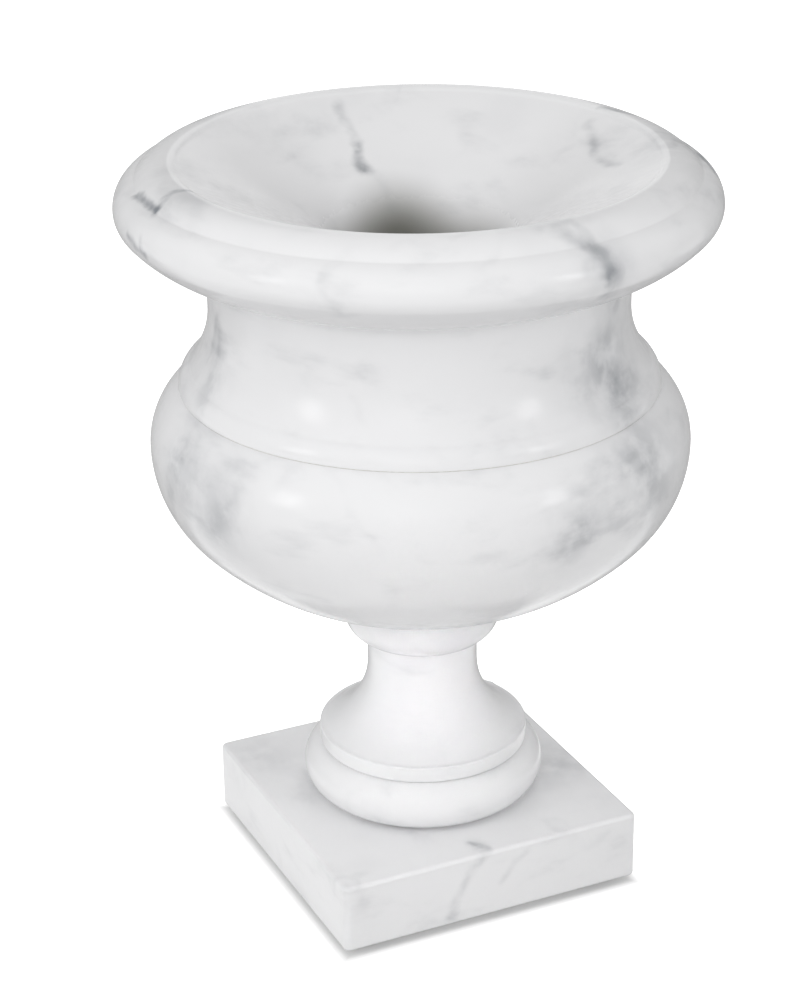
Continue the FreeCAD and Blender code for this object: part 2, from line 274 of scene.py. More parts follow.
def skin(name: str, rings: Sequence[Sequence[Triple | Vector]], closed: bool = True) -> bpy.types.Object:
    """Join rings of points into one skin with smooth shading.

    Args:
        name: the piece's name.
        rings: the places of each ring's points, as many in each.
        closed: whether the last ring joins the first; otherwise both ends are capped.

    Returns:
        The new object, at the origin.
    """
    mesh = bmesh.new()
    loops = [[mesh.verts.new(place) for place in places] for places in rings]
    for lower, upper in zip(loops, loops[1:] + loops[:1] if closed else loops[1:]):
        for index in range(len(lower)):
            after = (index + 1) % len(lower)
            mesh.faces.new((lower[index], lower[after], upper[after], upper[index]))
    if not closed:
        mesh.faces.new(loops[0])
        mesh.faces.new(loops[-1])
    return finished(name, mesh)


def finished(name: str, mesh: bmesh.types.BMesh) -> bpy.types.Object:
    """Turn a bmesh into a smooth shaded object in the scene.

    Args:
        name: the piece's name.
        mesh: its geometry, which is freed.

    Returns:
        The new object.
    """
    bmesh.ops.recalc_face_normals(mesh, faces=mesh.faces)
    data = bpy.data.meshes.new(name)
    mesh.to_mesh(data)
    mesh.free()
    data.shade_smooth()
    piece = bpy.data.objects.new(name, data)
    bpy.context.scene.collection.objects.link(piece)
    return piece


def dress(piece: bpy.types.Object, finish: Material, node: str) -> None:
    """Give a new piece its finish and let it stand for its CAD node.

    Args:
        piece: the new object.
        finish: its material.
        node: the CAD node that it replaces.
    """
    piece.data.materials.append(finish)
    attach(piece, BODY)
    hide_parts(node)
    log.info("%s: %d faces in %s", piece.name, len(piece.data.polygons), finish.name)


def dress_node(node: str, finish: Material) -> None:
    """Give a CAD node that stays a better material.

    Args:
        node: the CAD node's name.
        finish: its material.
    """
    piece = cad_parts[node]
    for material_slot in piece.material_slots:
        material_slot.material = finish
    log.info("%s: CAD node in %s", node, finish.name)


# ---- Materials


def linear(colour: str) -> tuple[float, float, float, float]:
    """Turn an sRGB colour into a linear one.

    Args:
        colour: the colour in hex, such as "#EFEFF0".

    Returns:
        Linear red, green and blue, and an alpha of 1.
    """
    values = [int(colour[index:index + 2], 16) / 255 for index in (1, 3, 5)]
    red, green, blue = (v / 12.92 if v <= 0.04045 else ((v + 0.055) / 1.055) ** 2.4 for v in values)
    return red, green, blue, 1.0


def add_node(tree: Tree, kind: str, inputs: dict[Any, Any], **settings: Any) -> bpy.types.Node:
    """Add a node with its settings and links.

    Args:
        tree: the tree that it goes in.
        kind: the node's type name, without its "ShaderNode" start.
        inputs: a value, or an output to link from, for each input by name or number.
        settings: the node's own properties.

    Returns:
        The new node.
    """
    node = tree.nodes.new("ShaderNode" + kind)
    for name, value in settings.items():
        setattr(node, name, value)
    for key, value in inputs.items():
        if isinstance(value, Socket):
            tree.links.new(value, node.inputs[key])
        else:
            node.inputs[key].default_value = value
    return node


def new_material(name: str) -> tuple[Material, Tree]:
    """Make an empty node material.

    Args:
        name: the material's name.

    Returns:
        The material and its node tree.
    """
    material = bpy.data.materials.new(name)
    material.use_nodes = True
    material.node_tree.nodes.clear()
    return material, material.node_tree


def place_in_mm(tree: Tree) -> Socket:
    """Read the place on the piece, from the piece's own origin.

    Args:
        tree: the tree that the nodes go in.

    Returns:
        The place in millimetres.
    """
    place = add_node(tree, "TexCoord", {})
    scaled = add_node(tree, "VectorMath", {0: place.outputs["Object"], "Scale": 1 / MM}, operation="SCALE")
    return scaled.outputs[0]


def mottled(tree: Tree, place: Socket, grain: float, detail: float, *changes: Change) -> list[Socket]:
    """Draw irregular patches, and the qualities of a finish that change with them.

    Args:
        tree: the tree that the nodes go in.
        place: the place in millimetres.
        grain: how wide a patch is, in millimetres.
        detail: how many finer layers the patches have.
        changes: for each quality, the span of the bare pattern over which it changes
            smoothly, and the quality's own values at the two ends of that span.

    Returns:
        The bare pattern, and then each quality.
    """
    bare = add_node(tree, "TexNoise", {"Vector": place, "Scale": 1 / grain, "Detail": detail}).outputs[0]
    results = [bare]
    for (low, high), (first, last) in changes:
        span = {"Value": bare, "From Min": low, "From Max": high, "To Min": first, "To Max": last}
        results.append(add_node(tree, "MapRange", span, **SMOOTH).outputs[0])
    return results


def close_material(
    tree: Tree, height: Socket, strength: float, relief: float, looks: dict[str, Any]
) -> None:
    """End a material with a shader that has a fine relief.

    Args:
        tree: the material's tree.
        height: the relief's pattern.
        strength: how strongly the relief shows.
        relief: how high the relief is, in millimetres.
        looks: the shader's other inputs by name.
    """
    bump = add_node(tree, "Bump", {"Strength": strength, "Distance": relief * MM, "Height": height})
    shader = add_node(tree, "BsdfPrincipled", {**looks, "Normal": bump.outputs[0]})
    add_node(tree, "OutputMaterial", {"Surface": shader.outputs[0]})


def streak_group() -> Tree:
    """Fetch the node group that shades one straight run of a vein, made at its first use.

    Returns:
        The group, from the pushed place and the run's sizes to its shade.
    """
    made = bpy.data.node_groups.get("marble_streak")
    if made:
        return made
    tree = bpy.data.node_groups.new("marble_streak", "ShaderNodeTree")
    sockets = {"Place": "Vector", "Start": "Vector", "End": "Vector", "Width": "Float", "Strength": "Float"}
    for name, kind in sockets.items():
        tree.interface.new_socket(name, in_out="INPUT", socket_type="NodeSocket" + kind)
    tree.interface.new_socket("Shade", in_out="OUTPUT", socket_type="NodeSocketFloat")
    given = tree.nodes.new("NodeGroupInput").outputs
    result = tree.nodes.new("NodeGroupOutput")
    place, start, end = given["Place"], given["Start"], given["End"]
    way = add_node(tree, "VectorMath", {0: place, 1: start}, operation="SUBTRACT").outputs[0]
    run = add_node(tree, "VectorMath", {0: end, 1: start}, operation="SUBTRACT").outputs[0]
    along = add_node(tree, "VectorMath", {0: way, 1: run}, operation="DOT_PRODUCT").outputs["Value"]
    whole = add_node(tree, "VectorMath", {0: run, 1: run}, operation="DOT_PRODUCT").outputs["Value"]
    share = add_node(tree, "Math", {0: along, 1: whole}, operation="DIVIDE", use_clamp=True).outputs[0]
    near = add_node(tree, "VectorMath", {0: run, "Scale": share}, operation="SCALE").outputs[0]
    gap = add_node(tree, "VectorMath", {0: way, 1: near}, operation="DISTANCE").outputs["Value"]
    fade = {"Value": gap, "From Max": given["Width"], "To Min": given["Strength"], "To Max": 0.0}
    shade = add_node(tree, "MapRange", fade, **SMOOTH)
    tree.links.new(shade.outputs[0], result.inputs["Shade"])
    return tree


@dataclass(frozen=True)
class Vein:
    """One placed grey vein, which wanders through points given in millimetres."""

    path: tuple[Triple, ...]
    width: float
    strength: float

    def draw(self, tree: Tree, place: Socket) -> Socket:
        """Draw the vein, run by run.

        Args:
            tree: the tree that the nodes go in.
            place: the place in millimetres, pushed about so that the vein wanders.

        Returns:
            The vein's shade.
        """
        shade: Any = 0.0
        sizes = {"Place": place, "Width": self.width, "Strength": self.strength}
        for start, end in zip(self.path, self.path[1:]):
            run = {"Start": start, "End": end, **sizes}
            streak = add_node(tree, "Group", run, node_tree=streak_group()).outputs["Shade"]
            shade = add_node(tree, "Math", {0: shade, 1: streak}, operation="MAXIMUM").outputs[0]
        return shade


@dataclass(frozen=True)
class Cloud:
    """One placed soft grey patch, in millimetres: most are clouds in the stone, and some are painted shade.
    """

    centre: Triple
    radius: float
    strength: float

    def draw(self, tree: Tree, place: Socket) -> Socket:
        """Draw the cloud.

        Args:
            tree: the tree that the nodes go in.
            place: the place in millimetres.

        Returns:
            The cloud's shade, which fades out at its radius.
        """
        gap = add_node(tree, "VectorMath", {0: place, 1: self.centre}, operation="DISTANCE")
        distance = gap.outputs["Value"]
        fade = {"Value": distance, "From Max": self.radius, "To Min": self.strength, "To Max": 0.0}
        return add_node(tree, "MapRange", fade, **SMOOTH).outputs[0]


@dataclass(frozen=True)
class Throat:
    """The bored part of the top stone and bowl, left as the core saw made it.

    It is duller than the polish round it; its colour is painted shade, darker and a little warmer deeper
    down.
    """

    widest: float = 60.0
    floor_level: float = 155.0
    # Between these two heights the sawn finish and its painted shade fade out upwards
    rough_level: float = 254.0
    polished_level: float = 283.0
    # Painted shade on the back wall, darkest where a vein runs into the throat
    deep_shade_patch: Cloud = Cloud((6, 33, 265), 31.0, 1.05)

    def draw(self, tree: Tree, place: Socket) -> Socket:
        """Tell the sawn throat, with its painted shade, from the polished stone round it.

        Args:
            tree: the tree that the nodes go in.
            place: the place in millimetres.

        Returns:
            1 deep in the throat, and 0 outside it.
        """
        flat = add_node(tree, "VectorMath", {0: place, 1: (1.0, 1.0, 0.0)}, operation="MULTIPLY").outputs[0]
        reach = add_node(tree, "VectorMath", {0: flat}, operation="LENGTH").outputs["Value"]
        level = add_node(tree, "SeparateXYZ", {0: place}).outputs[2]
        inside = add_node(tree, "Math", {0: reach, 1: self.widest}, operation="LESS_THAN").outputs[0]
        above = add_node(tree, "Math", {0: level, 1: self.floor_level}, operation="GREATER_THAN").outputs[0]
        well = add_node(tree, "Math", {0: inside, 1: above}, operation="MULTIPLY").outputs[0]
        levels = {"From Min": self.rough_level, "From Max": self.polished_level}
        fade = {"Value": level, **levels, "To Min": 1.0, "To Max": 0.0}
        lower = add_node(tree, "MapRange", fade, **SMOOTH).outputs[0]
        return add_node(tree, "Math", {0: well, 1: lower}, operation="MULTIPLY").outputs[0]


@dataclass(frozen=True)
class PolishedMarble:
    """White marble, turned or sawn and then polished.

    The polish gives soft, clear highlights on an otherwise even white; the stone itself
    gives low grey clouds and fine blue-grey veins that run on through its depth. Grains,
    cells, reaches and reliefs are in millimetres, and the crystals, really under 1 mm, are
    drawn coarser so that they show. Placed patches also paint shade in the throat and the urn's shadows on
    the plinth top.
    """

    name: str
    shift: Triple
    veins: tuple[Vein, ...] = ()
    # Soft grey patches: clouds in the stone, and on the plinth top also painted shadows of the urn
    clouds: tuple[Cloud, ...] = ()
    throat: Throat | None = None
    white: str = "#EFEFF0"
    vein: str = "#82868C"
    # Colours deep in the throat: painted shade on the dull sawn stone, darker with depth, and a darker
    # painted shade patch on the back wall
    sawn: str = "#97968F"
    deep_shade: str = "#80807A"
    ior: float = 1.49
    gloss: float = 0.3
    polish: Point = (0.18, 0.24)
    sawn_roughness: float = 0.7
    crystal_grain: float = 3.0
    crystal_relief: float = 0.01
    relief_strength: float = 0.1
    wander_grain: float = 18.0
    wander_reach: float = 9.0
    patch_grain: float = 9.0
    cloud_grain: float = 62.0
    drift_grain: float = 26.0
    bed_tilt: Triple = (0.5, 0.35, 0.2)
    bed_squeeze: Triple = (1.0, 0.7, 2.2)
    net_cell: float = 58.0
    net_line: float = 0.07
    net_shade: float = 0.13
    net_wander_grain: float = 30.0
    net_wander_reach: float = 34.0
    net_patch_grain: float = 38.0

    def build(self) -> Material:
        """Make the material with its placed veins and clouds.

        Returns:
            The new material.
        """
        material, tree = new_material(self.name)
        place = place_in_mm(tree)
        moved = add_node(tree, "VectorMath", {0: place, 1: self.shift}, operation="ADD").outputs[0]
        warped = self.warp(tree, place, moved, self.wander_grain, self.wander_reach)
        _, patchy = mottled(tree, moved, self.patch_grain, 3.0, ((0.3, 0.62), (0.6, 1.0)))
        faint = {0: self.haze(tree, moved), 1: self.network(tree, moved)}
        shade = add_node(tree, "Math", faint, operation="ADD").outputs[0]
        for mark in (*self.veins, *self.clouds):
            added = {0: mark.draw(tree, warped), 1: patchy, 2: shade}
            shade = add_node(tree, "Math", added, operation="MULTIPLY_ADD").outputs[0]
        shade = add_node(tree, "MapRange", {"Value": shade}, **SMOOTH).outputs[0]
        crystal, roughness = mottled(tree, moved, self.crystal_grain, 3.0, ((0.3, 0.7), self.polish))
        ground: Any = linear(self.white)
        if self.throat:
            # The throat's colour is painted shade, darker with depth and darkest in a patch on the back
            # wall; its roughness is the dull sawn finish
            bored = self.throat.draw(tree, place)
            for share, tint in ((bored, self.sawn), (self.throat.deep_shade_patch.draw(tree, place), self.deep_shade)):
                tones = {FACTOR: share, COLOUR_A: ground, COLOUR_B: linear(tint)}
                ground = add_node(tree, "Mix", tones, data_type="RGBA").outputs[MIXED]
            sawn = add_node(tree, "Math", {0: bored, 1: 0.5}, operation="POWER").outputs[0]
            finishes = {FACTOR: sawn, NUMBER_A: roughness, NUMBER_B: self.sawn_roughness}
            roughness = add_node(tree, "Mix", finishes).outputs[0]
        tones = {FACTOR: shade, COLOUR_A: ground, COLOUR_B: linear(self.vein)}
        colour = add_node(tree, "Mix", tones, data_type="RGBA")
        close_material(tree, crystal, self.relief_strength, self.crystal_relief, {
            "Base Color": colour.outputs[MIXED],
            "Roughness": roughness,
            "IOR": self.ior,
            "Specular IOR Level": self.gloss,
        })
        return material

    @staticmethod
    def warp(tree: Tree, place: Socket, moved: Socket, grain: float, reach: float) -> Socket:
        """Push a place about, so that what is drawn there wanders.

        Args:
            tree: the tree that the nodes go in.
            place: the place to push.
            moved: the place that the noise is read at.
            grain: how far apart the pushes turn, in millimetres.
            reach: how far the place is pushed in all, in millimetres.

        Returns:
            The pushed place.
        """
        noise = add_node(tree, "TexNoise", {"Vector": moved, "Scale": 1 / grain, "Detail": 3.0})
        both = {0: noise.outputs["Color"], 1: (0.5, 0.5, 0.5)}
        push = add_node(tree, "VectorMath", both, operation="SUBTRACT").outputs[0]
        scaled = add_node(tree, "VectorMath", {0: push, "Scale": reach}, operation="SCALE").outputs[0]
        return add_node(tree, "VectorMath", {0: place, 1: scaled}, operation="ADD").outputs[0]

    def haze(self, tree: Tree, moved: Socket) -> Socket:
        """Draw the faint clouds that drift all through the stone.

        Args:
            tree: the tree that the nodes go in.
            moved: the place in the block that this stone was cut from.

        Returns:
            The clouds' shade.
        """
        _, broad = mottled(tree, moved, self.cloud_grain, 3.0, ((0.42, 0.72), (0.0, 0.16)))
        bedding = {"Vector": moved, "Rotation": self.bed_tilt, "Scale": self.bed_squeeze}
        bedded = add_node(tree, "Mapping", bedding).outputs[0]
        _, drift = mottled(tree, bedded, self.drift_grain, 6.0, ((0.48, 0.75), (0.0, 0.2)))
        return add_node(tree, "Math", {0: broad, 1: drift}, operation="ADD").outputs[0]

    def network(self, tree: Tree, moved: Socket) -> Socket:
        """Draw the fine network of veins, which shows in patches only.

        Args:
            tree: the tree that the nodes go in.
            moved: the place in the block that this stone was cut from.

        Returns:
            The network's shade.
        """
        bent = self.warp(tree, moved, moved, self.net_wander_grain, self.net_wander_reach)
        cells = {"Vector": bent, "Scale": 1 / self.net_cell}
        edge = add_node(tree, "TexVoronoi", cells, feature="DISTANCE_TO_EDGE").outputs["Distance"]
        fade = {"Value": edge, "From Max": self.net_line, "To Min": self.net_shade, "To Max": 0.0}
        lines = add_node(tree, "MapRange", fade, **SMOOTH).outputs[0]
        _, where = mottled(tree, moved, self.net_patch_grain, 2.0, ((0.5, 0.7), (0.0, 1.0)))
        return add_node(tree, "Math", {0: lines, 1: where}, operation="MULTIPLY").outputs[0]


@dataclass(frozen=True)
class PolyesterResin:
    """Polyester stone resin, knifed into the joints and cured.

    It shows as a thin dull line, a little darker and warmer than the marble beside it.
    """

    name: str = "cured_polyester_resin"
    pale: str = "#E6E5E1"
    dark: str = "#DAD8D3"
    ior: float = 1.55
    grain: float = 1.5
    relief: float = 0.1
    relief_strength: float = 0.3
    roughness: Point = (0.45, 0.6)

    def build(self) -> Material:
        """Make the material.

        Returns:
            The new material.
        """
        material, tree = new_material(self.name)
        changes = (((0.35, 0.65), (0.0, 1.0)), ((0.3, 0.7), self.roughness))
        spread, tint, roughness = mottled(tree, place_in_mm(tree), self.grain, 3.0, *changes)
        tones = {FACTOR: tint, COLOUR_A: linear(self.pale), COLOUR_B: linear(self.dark)}
        colour = add_node(tree, "Mix", tones, data_type="RGBA")
        close_material(tree, spread, self.relief_strength, self.relief, {
            "Base Color": colour.outputs[MIXED],
            "Roughness": roughness,
            "IOR": self.ior,
        })
        return material


@dataclass(frozen=True)
class ZincPlatedSteel:
    """Mild steel, rolled or stamped and then bright zinc plated.

    The plating gives a cool, slightly cloudy grey with small lighter and darker patches.
    """

    name: str = "zinc_plated_steel"
    bright: str = "#C6CACD"
    dull: str = "#A3A9AE"
    patch: float = 2.5
    scratch: float = 0.4
    relief: float = 0.03
    relief_strength: float = 0.2
    roughness: Point = (0.28, 0.42)

    def build(self) -> Material:
        """Make the material.

        Returns:
            The new material.
        """
        material, tree = new_material(self.name)
        place = place_in_mm(tree)
        changes = (((0.35, 0.65), (0.0, 1.0)), ((0.3, 0.7), self.roughness))
        _, tint, roughness = mottled(tree, place, self.patch, 4.0, *changes)
        tones = {FACTOR: tint, COLOUR_A: linear(self.bright), COLOUR_B: linear(self.dull)}
        colour = add_node(tree, "Mix", tones, data_type="RGBA")
        scratches, = mottled(tree, place, self.scratch, 2.0)
        close_material(tree, scratches, self.relief_strength, self.relief, {
            "Base Color": colour.outputs[MIXED],
            "Metallic": 1.0,
            "Roughness": roughness,
        })
        return material


@dataclass(frozen=True)
class BlackRubber:
    """Black nitrile rubber, moulded or punched from sheet.

    It is matt and nearly black, with a fine even grain and a trace of grey bloom.
    """

    name: str
    black: str = "#1E1E1F"
    bloom: str = "#333436"
    ior: float = 1.52
    bloom_grain: float = 5.0
    grain: float = 0.8
    relief: float = 0.05
    relief_strength: float = 0.4
    roughness: Point = (0.68, 0.82)

    def build(self) -> Material:
        """Make the material.

        Returns:
            The new material.
        """
        material, tree = new_material(self.name)
        place = place_in_mm(tree)
        _, tint = mottled(tree, place, self.bloom_grain, 4.0, ((0.45, 0.7), (0.0, 1.0)))
        tones = {FACTOR: tint, COLOUR_A: linear(self.black), COLOUR_B: linear(self.bloom)}
        colour = add_node(tree, "Mix", tones, data_type="RGBA")
        dullness = {"Value": tint, "To Min": self.roughness[0], "To Max": self.roughness[1]}
        grain, = mottled(tree, place, self.grain, 2.0)
        close_material(tree, grain, self.relief_strength, self.relief, {
            "Base Color": colour.outputs[MIXED],
            "Roughness": add_node(tree, "MapRange", dullness, **SMOOTH).outputs[0],
            "IOR": self.ior,
        })
        return material


# ---- Where the veins run, read off the photograph

RIM_VEINS = (
    # Down the dish's back wall into the throat
    Vein(((6, 89, 307), (3, 72, 301), (2, 62, 296)), 4.2, 0.26),
    Vein(((2, 64, 297), (0, 50, 290)), 4.4, 0.45),
    Vein(((0, 50, 290), (4, 41, 284), (6, 35, 276)), 6.0, 0.22),
    # Forked vein over the left edge
    Vein(((-110, 19, 304), (-109, -3, 306), (-102, -1, 310), (-95, -4, 310)), 3.2, 0.5),
    Vein(((-109, -3, 306), (-118, -10, 294)), 3.0, 0.3),
    Vein(((-119, 3, 294), (-118, -13, 291)), 3.2, 0.4),
    # Over the front right of the rim and on under it
    Vein(((6, -104, 308), (11, -107, 307), (18, -112, 303), (21, -117, 294)), 6.5, 0.24),
    Vein(((21, -117, 294), (22, -112, 284), (52, -66, 263)), 7.0, 0.3),
    # Along the right edge and inside it
    Vein(((93, 24, 310), (104, 2, 308), (112, -20, 303), (104, -50, 301)), 3.4, 0.4),
    Vein(((86, 19, 307), (74, -7, 301), (72, -28, 303)), 4.0, 0.25),
    # Down the right of the neck to the joint
    Vein(((49, -68, 252), (38, -76, 240), (43, -77, 234), (47, -80, 226), (47, -84, 219)), 12.0, 0.08),
    # On the left of the neck
    Vein(((-83, 12, 256), (-84, 0, 246), (-86, 2, 237), (-92, -1, 227), (-96, -5, 219)), 8.0, 0.18),
)
RIM_CLOUDS = (
    Cloud((44, -76, 238), 38.0, 0.37),
    Cloud((100, -30, 305), 46.0, 0.3),
    Cloud((-88, 2, 235), 30.0, 0.25),
    Cloud((20, -112, 296), 20.0, 0.28),
    Cloud((-70, -47, 249), 15.0, 0.16),
    Cloud((-51, -66, 251), 11.0, 0.16),
)
BOWL_VEINS = (
    # On from the neck, down the right of the belly
    Vein(((51, -87, 213), (49, -92, 210), (52, -95, 200), (60, -90, 188)), 12.0, 0.08),
    # Short vein at the belly's lower right
    Vein(((16, -108, 196), (12, -108, 188), (6, -107, 182)), 12.0, 0.1),
    # Down the left of the belly
    Vein(((-104, -5, 209), (-109, -4, 194), (-106, 4, 180)), 8.0, 0.2),
    Vein(((-98, -44, 201), (-102, -37, 189)), 9.0, 0.1),
)
BOWL_CLOUDS = (
    Cloud((50, -95, 202), 42.0, 0.34),
    Cloud((14, -108, 190), 26.0, 0.34),
    Cloud((-103, -35, 190), 32.0, 0.28),
    Cloud((-107, -7, 203), 26.0, 0.3),
)
PLINTH_VEINS = (
    # Over the front edge and down the face
    Vein(((-6, -58, 33), (-2, -64, 33), (-9, -67, 27), (-20, -67, 8)), 4.0, 0.3),
    Vein(((16, -67, 30), (3, -67, 18)), 3.4, 0.22),
)
PLINTH_CLOUDS_AND_SHADOWS = (
    # Painted shadows of the urn on the plinth top, to the left and right towards the back
    Cloud((-56, 48, 33), 34.0, 0.25),
    Cloud((57, -12, 33), 32.0, 0.3),
    # A grey spot where the front vein crosses the edge
    Cloud((-4, -60, 33), 9.0, 0.35),
)


# ---- Sub-assemblies


@dataclass
class Stone:
    """One of the urn's five stones, all but the top one bored for the tie rod."""

    node: ClassVar[str]
    bore_radius: float = 4.75

    def underside(self) -> float:
        """Give the height of the stone's underside in the CAD model."""
        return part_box(self.node)[0].z / MM

    def outline(self) -> list[Corner]:
        """Draw the stone's section, in each stone's own way."""
        raise NotImplementedError

    def rings(self) -> list[list[Triple]]:
        """Turn the section round the urn's axis."""
        return [ring(radius, radius, level) for radius, level in outline_points(self.outline())]

    def build(self, marble: PolishedMarble) -> None:
        """Cut the stone and polish it."""
        dress(skin(f"{self.node}_stone", self.rings()), marble.build(), self.node)


@dataclass
class Plinth(Stone):
    """Square plinth sawn from slab, with the rod's bore and the nut's recess under it."""

    node = "plinth"
    side: float = 134.0
    thickness: float = 30.0
    corner: float = 3.0
    edge: float = 1.8
    recess_radius: float = 15.0
    recess_depth: float = 14.0
    arris: float = 0.5

    def outline(self) -> list[Corner]:
        """Draw the plinth's section through the middle of its sides.

        Returns:
            The section's corners from the bore's top edge out, down, in and up again.
        """
        base = self.underside()
        half, top = self.side / 2, base + self.thickness
        ceiling = base + self.recess_depth
        edge = self.edge
        return [
            Corner(self.bore_radius, top, ease=self.arris),
            Corner(half - edge, top, Bend.REACH, half - edge),
            Corner(half, top - edge),
            Corner(half, base + edge, Bend.LEVEL, base + edge),
            Corner(half - edge, base),
            Corner(self.recess_radius, base, ease=self.arris),
            Corner(self.recess_radius, ceiling),
            Corner(self.bore_radius, ceiling),
        ]

    def rings(self) -> list[list[Triple]]:
        """Take the section round the plinth, square outside and round inside.

        Returns:
            The rings' places.
        """
        inset = self.side / 2 - self.corner
        points = outline_points(self.outline())
        return [ring(reach, reach - inset if reach > inset else reach, level) for reach, level in points]


@dataclass
class Foot(Stone):
    """Turned foot: torus, fillet ring, hollow cavetto and stem."""

    node = "foot"
    torus_radius: float = 50.4
    torus_height: float = 22.0
    ring_radius: float = 43.6
    ring_height: float = 6.8
    ring_edge: float = 0.8
    cavetto_seat: float = 1.4
    cavetto_height: float = 29.6
    stem_radius: float = 22.9
    stem_height: float = 11.7
    arris: float = 0.4

    def outline(self) -> list[Corner]:
        """Draw the foot's section.

        Returns:
            The section's corners in order.
        """
        base = self.underside()
        torus_top = base + self.torus_height
        middle = base + self.torus_height / 2
        ring_top = torus_top + self.ring_height
        stem_start = ring_top + self.cavetto_height
        top = stem_start + self.stem_height
        seat = self.torus_radius - self.torus_height / 2
        return [
            Corner(self.bore_radius, top, ease=self.arris),
            Corner(self.stem_radius, top, ease=self.arris),
            Corner(self.stem_radius, stem_start, Bend.LEVEL, stem_start),
            Corner(self.ring_radius - self.cavetto_seat, ring_top),
            Corner(self.ring_radius, ring_top, ease=self.ring_edge),
            Corner(self.ring_radius, torus_top, ease=self.ring_edge),
            Corner(seat, torus_top, Bend.LEVEL, middle),
            Corner(self.torus_radius, middle, Bend.LEVEL, middle),
            Corner(seat, base, ease=self.arris),
            Corner(self.bore_radius, base, ease=self.arris),
        ]


@dataclass
class Collar(Stone):
    """Half-round bead between the stem and the bowl."""

    node = "collar"
    radius: float = 32.2
    height: float = 20.0
    arris: float = 0.4

    def outline(self) -> list[Corner]:
        """Draw the bead's section.

        Returns:
            The section's corners in order.
        """
        base = self.underside()
        middle, top = base + self.height / 2, base + self.height
        seat = self.radius - self.height / 2
        return [
            Corner(self.bore_radius, top, ease=self.arris),
            Corner(seat, top, Bend.LEVEL, middle, ease=self.arris),
            Corner(self.radius, middle, Bend.LEVEL, middle),
            Corner(seat, base, ease=self.arris),
            Corner(self.bore_radius, base, ease=self.arris),
        ]


@dataclass
class Bowl(Stone):
    """Belly and underside of the urn, with the lower part of the bored well."""

    node = "bowl"
    joint_radius: float = 96.4
    belly_swell: float = 12.5
    belly_rise: float = 24.3
    turn_inset: float = 14.2
    turn_drop: float = 34.7
    underside_drop: float = 34.2
    seat_radius: float = 23.4
    well_radius: float = 32.5
    well_floor: float = 31.5
    well_corner: float = 6.0
    spigot_radius: float = 60.0
    spigot_height: float = 4.5
    arris: float = 0.5
    fine_arris: float = 0.08

    def outline(self) -> list[Corner]:
        """Draw the bowl's section.

        Returns:
            The section's corners in order.
        """
        base = self.underside()
        belly_level = base + self.underside_drop + self.turn_drop
        joint = belly_level + self.belly_rise
        belly = self.joint_radius + self.belly_swell
        floor = base + self.well_floor
        floor_edge = self.well_radius - self.well_corner
        spigot_top = joint + self.spigot_height
        return [
            Corner(self.well_radius, spigot_top, ease=self.arris),
            Corner(self.spigot_radius, spigot_top, ease=self.arris),
            Corner(self.spigot_radius, joint),
            Corner(self.joint_radius, joint, Bend.LEVEL, belly_level, ease=self.fine_arris),
            Corner(belly, belly_level, Bend.LEVEL, belly_level),
            Corner(belly - self.turn_inset, base + self.underside_drop, Bend.SMOOTH),
            Corner(self.seat_radius, base, ease=self.arris),
            Corner(self.bore_radius, base, ease=self.arris),
            Corner(self.bore_radius, floor, ease=self.arris),
            Corner(floor_edge, floor, Bend.REACH, floor_edge),
            Corner(self.well_radius, floor + self.well_corner),
        ]


@dataclass
class NeckRim(Stone):
    """Top stone: shoulder band, neck, overhanging rim, dish and mouth of the well."""

    node = "neck_rim"
    band_foot: float = 96.7
    band_height: float = 8.0
    band_slope: float = 4.4
    neck_flare: float = 8.5
    neck_rise: float = 24.6
    neck_return: float = 1.0
    neck_shoulder: float = 21.0
    undercut_width: float = 4.4
    rim_radius: float = 118.8
    underside_rise: float = 15.0
    nose_inset: float = 2.3
    nose_drop: float = 5.9
    ovolo_rise: float = 11.3
    groove_inset: float = 8.5
    bead_width: float = 12.8
    bead_rise: float = 6.4
    lip_width: float = 3.7
    lip_drop: float = 1.3
    dish_drop: float = 19.6
    mouth_flare: float = 16.4
    mouth_drop: float = 26.7
    well_radius: float = 32.5
    socket_radius: float = 60.3
    socket_depth: float = 4.5
    arris: float = 0.5
    fine_arris: float = 0.08
    soft_arris: float = 0.9

    def outline(self) -> list[Corner]:
        """Draw the top stone's section.

        Returns:
            The section's corners in order.
        """
        base = self.underside()
        band_top = self.band_foot - self.band_slope
        neck = band_top - self.neck_flare
        undercut = neck + self.neck_return + self.undercut_width
        band_level = base + self.band_height
        narrowest = band_level + self.neck_rise
        undercut_level = narrowest + self.neck_shoulder
        turn_level = undercut_level + self.underside_rise
        widest = turn_level + self.nose_drop
        groove_level = widest + self.ovolo_rise
        crest_level = groove_level + self.bead_rise
        groove = self.rim_radius - self.groove_inset
        crest = groove - self.bead_width
        lip, lip_level = crest - self.lip_width, crest_level - self.lip_drop
        flare_level = lip_level - self.dish_drop
        mouth_level = flare_level - self.mouth_drop
        socket_level = base + self.socket_depth
        return [
            Corner(crest, crest_level, Bend.REACH, crest),
            Corner(groove, groove_level, Bend.LEVEL, widest),
            Corner(self.rim_radius, widest, Bend.LEVEL, widest),
            Corner(self.rim_radius - self.nose_inset, turn_level, Bend.SMOOTH),
            Corner(undercut, undercut_level),
            Corner(undercut - self.undercut_width, undercut_level, Bend.LEVEL, narrowest),
            Corner(neck, narrowest, Bend.LEVEL, narrowest),
            Corner(band_top, band_level, Bend.LEVEL, base),
            Corner(self.band_foot, base, ease=self.fine_arris),
            Corner(self.socket_radius, base, ease=self.arris),
            Corner(self.socket_radius, socket_level),
            Corner(self.well_radius, socket_level, ease=self.arris),
            Corner(self.well_radius, mouth_level, Bend.LEVEL, mouth_level),
            Corner(self.well_radius + self.mouth_flare, flare_level, Bend.SMOOTH),
            Corner(lip, lip_level, Bend.REACH, crest, ease=self.soft_arris),
        ]


